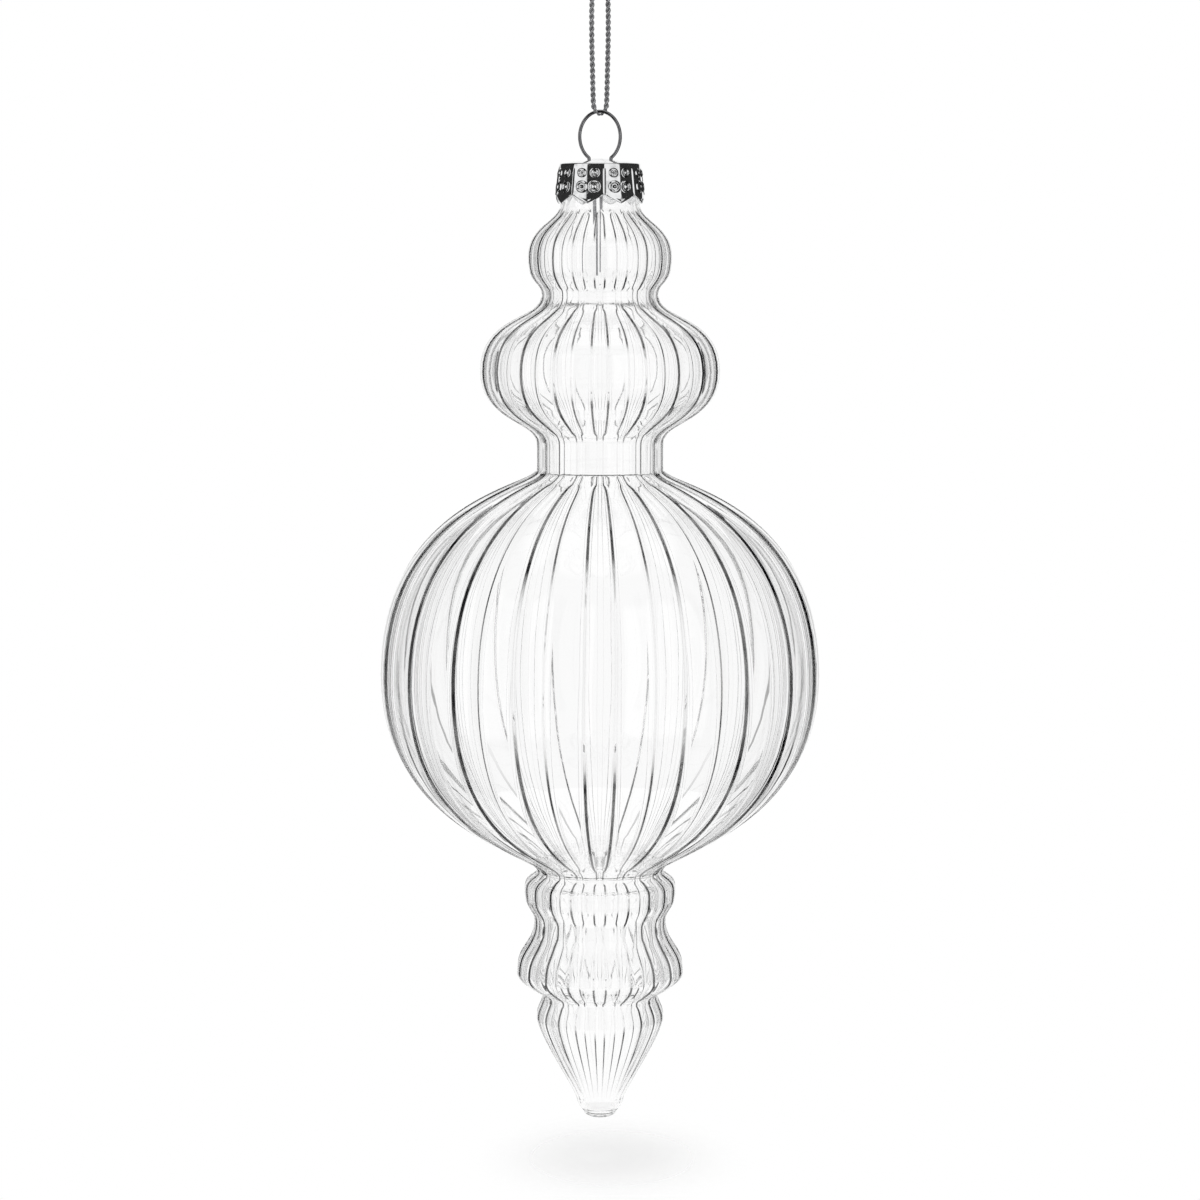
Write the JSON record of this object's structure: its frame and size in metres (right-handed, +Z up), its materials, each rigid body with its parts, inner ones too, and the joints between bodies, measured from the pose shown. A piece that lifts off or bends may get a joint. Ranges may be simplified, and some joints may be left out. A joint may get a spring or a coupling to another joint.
{
  "type": "ribbed glass icicle ornament",
  "caption": "Hanging finial ornament: a ribbed clear-glass stack of bulbs ending in an icicle tip, closed by a crown cap whose spring wire ring hangs from a cord loop.",
  "frame": {"origin": "inside top of the cord loop, just under its knot, where a hook holds the ornament", "axes": "+Z up along the axis of the glass, +X along the ring's top wire, -Y towards the picture's camera"},
  "size_m": [0.0782, 0.0782, 0.2243],
  "materials": {
    "silver_cord": "twisted metallic silver thread",
    "spring_wire": "bright drawn spring wire",
    "plated_cap": "bright plated pressed sheet",
    "clear_glass": "clear blown glass, fire polished"
  },
  "bodies": {
    "cord": {"cord_loop": "silver_cord", "cord_knot": "silver_cord"},
    "hanger": {"wire_hanger": "spring_wire", "metal_cap": "plated_cap"},
    "glass": {"glass_body": "clear_glass"}
  },
  "joints": [
    {"name": "hanger_swing", "type": "hinge", "parent": "cord", "child": "hanger", "pos_m": [0, 0, -0.034], "axis": [1, 0, 0], "range_deg": [-75, 75]},
    {"name": "neck_pull", "type": "slide", "parent": "hanger", "child": "glass", "axis": [0, 0, -1], "range_m": [0, 0.023]}
  ]
}
